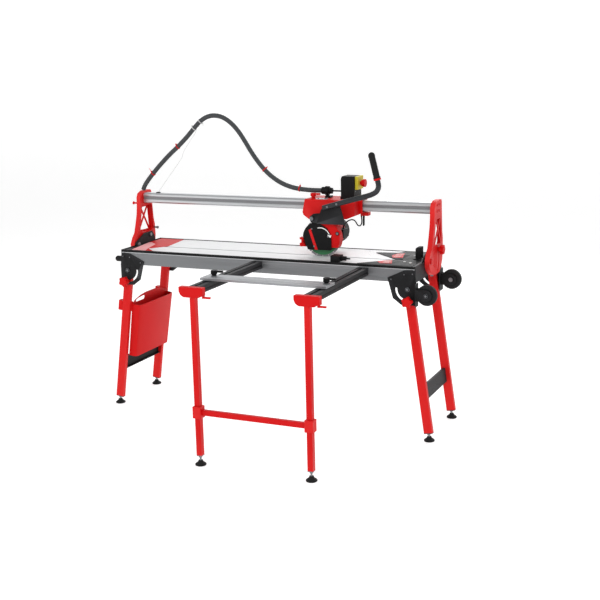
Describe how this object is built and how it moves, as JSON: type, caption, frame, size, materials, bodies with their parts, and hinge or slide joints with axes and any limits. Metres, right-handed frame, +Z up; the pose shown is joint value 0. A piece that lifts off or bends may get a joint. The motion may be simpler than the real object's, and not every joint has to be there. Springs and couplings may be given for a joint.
{
  "type": "wet tile saw",
  "caption": "Rail-guided wet tile saw: long slotted table on folding legs, tilting bridge rail with a sliding cutting head, side extension and slurry bucket.",
  "frame": {"origin": "centre of the whole machine's footprint box, on the floor", "axes": "+X along the table towards the wheel end, +Y to the back away from the extension, +Z up"},
  "size_m": [1.6841, 1.0479, 1.429],
  "materials": {
    "rail_aluminium": "satin extruded",
    "black_steel": "satin powder coat",
    "board_aluminium": "satin grooved",
    "edge_vinyl": "satin strip",
    "black_plastic": "fine texture",
    "steel": "zinc plated",
    "rubber": "matte",
    "red_paint": "gloss powder coat",
    "red_plastic": "gloss",
    "ruler_aluminium": "satin",
    "rail_bright": "satin extruded",
    "hose_rubber": "corrugated",
    "yellow_plastic": "gloss",
    "cable_rubber": "satin",
    "blade_core": "green painted core with bare rim"
  },
  "bodies": {
    "table": {"side_rails": "rail_aluminium", "end_plates": "black_steel", "top_boards": "board_aluminium", "edge_strips": "edge_vinyl", "water_tray": "black_plastic", "leg_brackets": "black_steel", "pivot_pins": "steel", "carry_handles": "rubber", "mitre_gauge": "black_steel"},
    "wheel_front": {"wheel_front": "rubber"},
    "wheel_rear": {"wheel_rear": "rubber"},
    "left_legs": {"legs_left": "red_paint", "brace_left": "black_steel", "leg_studs_left": "steel"},
    "right_legs": {"legs_right": "red_paint", "brace_right": "black_steel", "leg_studs_right": "steel"},
    "feet_left": {"feet_left": "rubber"},
    "feet_right": {"feet_right": "rubber"},
    "knob_front_left": {"leg_knob_front_left": "red_plastic"},
    "knob_rear_left": {"leg_knob_rear_left": "red_plastic"},
    "knob_front_right": {"leg_knob_front_right": "red_plastic"},
    "knob_rear_right": {"leg_knob_rear_right": "red_plastic"},
    "bucket": {"bucket": "red_plastic"},
    "extension": {"ext_rails": "black_steel", "ext_caps": "red_plastic", "stand_frame": "red_paint", "stand_studs": "steel"},
    "stand_feet": {"stand_feet": "rubber"},
    "cap_lever_left": {"cap_lever_left": "red_plastic"},
    "cap_lever_right": {"cap_lever_right": "red_plastic"},
    "ruler": {"ruler_bar": "ruler_aluminium"},
    "ruler_knob_left": {"ruler_knob_left": "black_plastic"},
    "ruler_knob_right": {"ruler_knob_right": "black_plastic"},
    "slide_stop": {"slide_stop": "black_plastic"},
    "bridge": {"uprights": "red_paint", "rail": "rail_bright", "rail_bolts": "steel", "hose": "hose_rubber", "hose_ties": "red_plastic"},
    "index_pin": {"index_pin": "steel"},
    "tilt_knob_left": {"tilt_knob_left": "red_plastic"},
    "tilt_knob_right": {"tilt_knob_right": "red_plastic"},
    "carriage": {"carriage_box": "red_paint", "switch_box": "black_plastic", "estop_plate": "yellow_plastic", "plunge_pivot": "steel"},
    "carriage_lock": {"carriage_lock": "red_plastic"},
    "estop": {"estop_button": "red_plastic"},
    "head": {"head_plate": "black_steel", "guard_body": "red_plastic", "guard_cover": "black_plastic", "head_screws": "steel", "motor_body": "red_paint", "motor_fan_cover": "black_plastic", "handle_tube": "black_steel", "grip": "rubber", "motor_cable": "cable_rubber"},
    "blade": {"blade": "blade_core", "spindle": "steel"}
  },
  "joints": [
    {"name": "wheel_front_spin", "type": "hinge", "parent": "table", "child": "wheel_front", "pos_m": [0.79606, 0.11, 0.666], "axis": [0, 1, 0], "continuous": true},
    {"name": "wheel_rear_spin", "type": "hinge", "parent": "table", "child": "wheel_rear", "pos_m": [0.79606, 0.482, 0.666], "axis": [0, 1, 0], "continuous": true},
    {"name": "left_legs_fold", "type": "hinge", "parent": "table", "child": "left_legs", "pos_m": [-0.72194, 0.296, 0.687], "axis": [0, -1, 0], "range_deg": [0, 75]},
    {"name": "right_legs_fold", "type": "hinge", "parent": "table", "child": "right_legs", "pos_m": [0.70806, 0.296, 0.687], "axis": [0, 1, 0], "range_deg": [0, 98]},
    {"name": "knob_front_left_turn", "type": "hinge", "parent": "left_legs", "child": "knob_front_left", "pos_m": [-0.72936, 0.1, 0.63553], "axis": [0, 1, 0], "continuous": true},
    {"name": "knob_rear_left_turn", "type": "hinge", "parent": "left_legs", "child": "knob_rear_left", "pos_m": [-0.72936, 0.492, 0.63553], "axis": [0, 1, 0], "continuous": true},
    {"name": "knob_front_right_turn", "type": "hinge", "parent": "right_legs", "child": "knob_front_right", "pos_m": [0.71547, 0.1, 0.63553], "axis": [0, 1, 0], "continuous": true},
    {"name": "knob_rear_right_turn", "type": "hinge", "parent": "right_legs", "child": "knob_rear_right", "pos_m": [0.71547, 0.492, 0.63553], "axis": [0, 1, 0], "continuous": true},
    {"name": "feet_left_swivel", "type": "hinge", "parent": "left_legs", "child": "feet_left", "pos_m": [-0.81806, 0.296, 0.02], "axis": [0, 1, 0], "range_deg": [-8, 8]},
    {"name": "feet_right_swivel", "type": "hinge", "parent": "right_legs", "child": "feet_right", "pos_m": [0.80417, 0.296, 0.02], "axis": [0, 1, 0], "range_deg": [-8, 8]},
    {"name": "bucket_lift", "type": "slide", "parent": "left_legs", "child": "bucket", "axis": [0.1426, 0, 0.9898], "range_m": [0, 0.03]},
    {"name": "extension_pull", "type": "slide", "parent": "table", "child": "extension", "axis": [0, -1, 0], "range_m": [0, 0.05]},
    {"name": "stand_feet_swivel", "type": "hinge", "parent": "extension", "child": "stand_feet", "pos_m": [0.24606, -0.5, 0.02], "axis": [1, 0, 0], "range_deg": [-8, 8]},
    {"name": "cap_lever_left_turn", "type": "hinge", "parent": "extension", "child": "cap_lever_left", "pos_m": [0.03506, -0.5, 0.73], "axis": [0, 0, 1], "range_deg": [-90, 0]},
    {"name": "cap_lever_right_turn", "type": "hinge", "parent": "extension", "child": "cap_lever_right", "pos_m": [0.54906, -0.5, 0.73], "axis": [0, 0, 1], "range_deg": [-90, 0]},
    {"name": "ruler_slide", "type": "slide", "parent": "extension", "child": "ruler", "axis": [0, 1, 0], "range_m": [-0.11, 0.385]},
    {"name": "ruler_knob_left_turn", "type": "hinge", "parent": "ruler", "child": "ruler_knob_left", "pos_m": [-0.01894, -0.304, 0.79], "axis": [0, 0, 1], "range_deg": [-90, 90]},
    {"name": "ruler_knob_right_turn", "type": "hinge", "parent": "ruler", "child": "ruler_knob_right", "pos_m": [0.50106, -0.304, 0.79], "axis": [0, 0, 1], "range_deg": [-90, 90]},
    {"name": "stop_slide", "type": "slide", "parent": "table", "child": "slide_stop", "axis": [1, 0, 0], "range_m": [-0.3, 0.05]},
    {"name": "bridge_tilt", "type": "hinge", "parent": "table", "child": "bridge", "pos_m": [-0.00694, 0.256, 0.787], "axis": [1, 0, 0], "range_deg": [0, 45]},
    {"name": "index_pin_pull", "type": "slide", "parent": "bridge", "child": "index_pin", "axis": [1, 0, 0], "range_m": [0, 0.01], "stiffness_N_per_m": 600},
    {"name": "tilt_knob_left_turn", "type": "hinge", "parent": "table", "child": "tilt_knob_left", "pos_m": [-0.79394, 0.37076, 0.82208], "axis": [1, 0, 0], "continuous": true},
    {"name": "tilt_knob_right_turn", "type": "hinge", "parent": "table", "child": "tilt_knob_right", "pos_m": [0.78006, 0.37076, 0.82208], "axis": [1, 0, 0], "continuous": true},
    {"name": "carriage_slide", "type": "slide", "parent": "bridge", "child": "carriage", "axis": [1, 0, 0], "range_m": [-0.8, 0.28], "deforming": ["hose"]},
    {"name": "carriage_lock_turn", "type": "hinge", "parent": "carriage", "child": "carriage_lock", "pos_m": [0.17906, 0.316, 1.05], "axis": [0, 0, 1], "range_deg": [-90, 0]},
    {"name": "estop_press", "type": "slide", "parent": "carriage", "child": "estop", "axis": [-1, 0, 0], "range_m": [0, 0.004], "stiffness_N_per_m": 1500},
    {"name": "head_plunge", "type": "hinge", "parent": "carriage", "child": "head", "pos_m": [0.21106, 0.248, 0.962], "axis": [0, -1, 0], "range_deg": [0, 15], "deforming": ["motor_cable"]},
    {"name": "blade_spin", "type": "hinge", "parent": "head", "child": "blade", "pos_m": [0.24706, 0.256, 0.87], "axis": [0, 1, 0], "continuous": true}
  ]
}
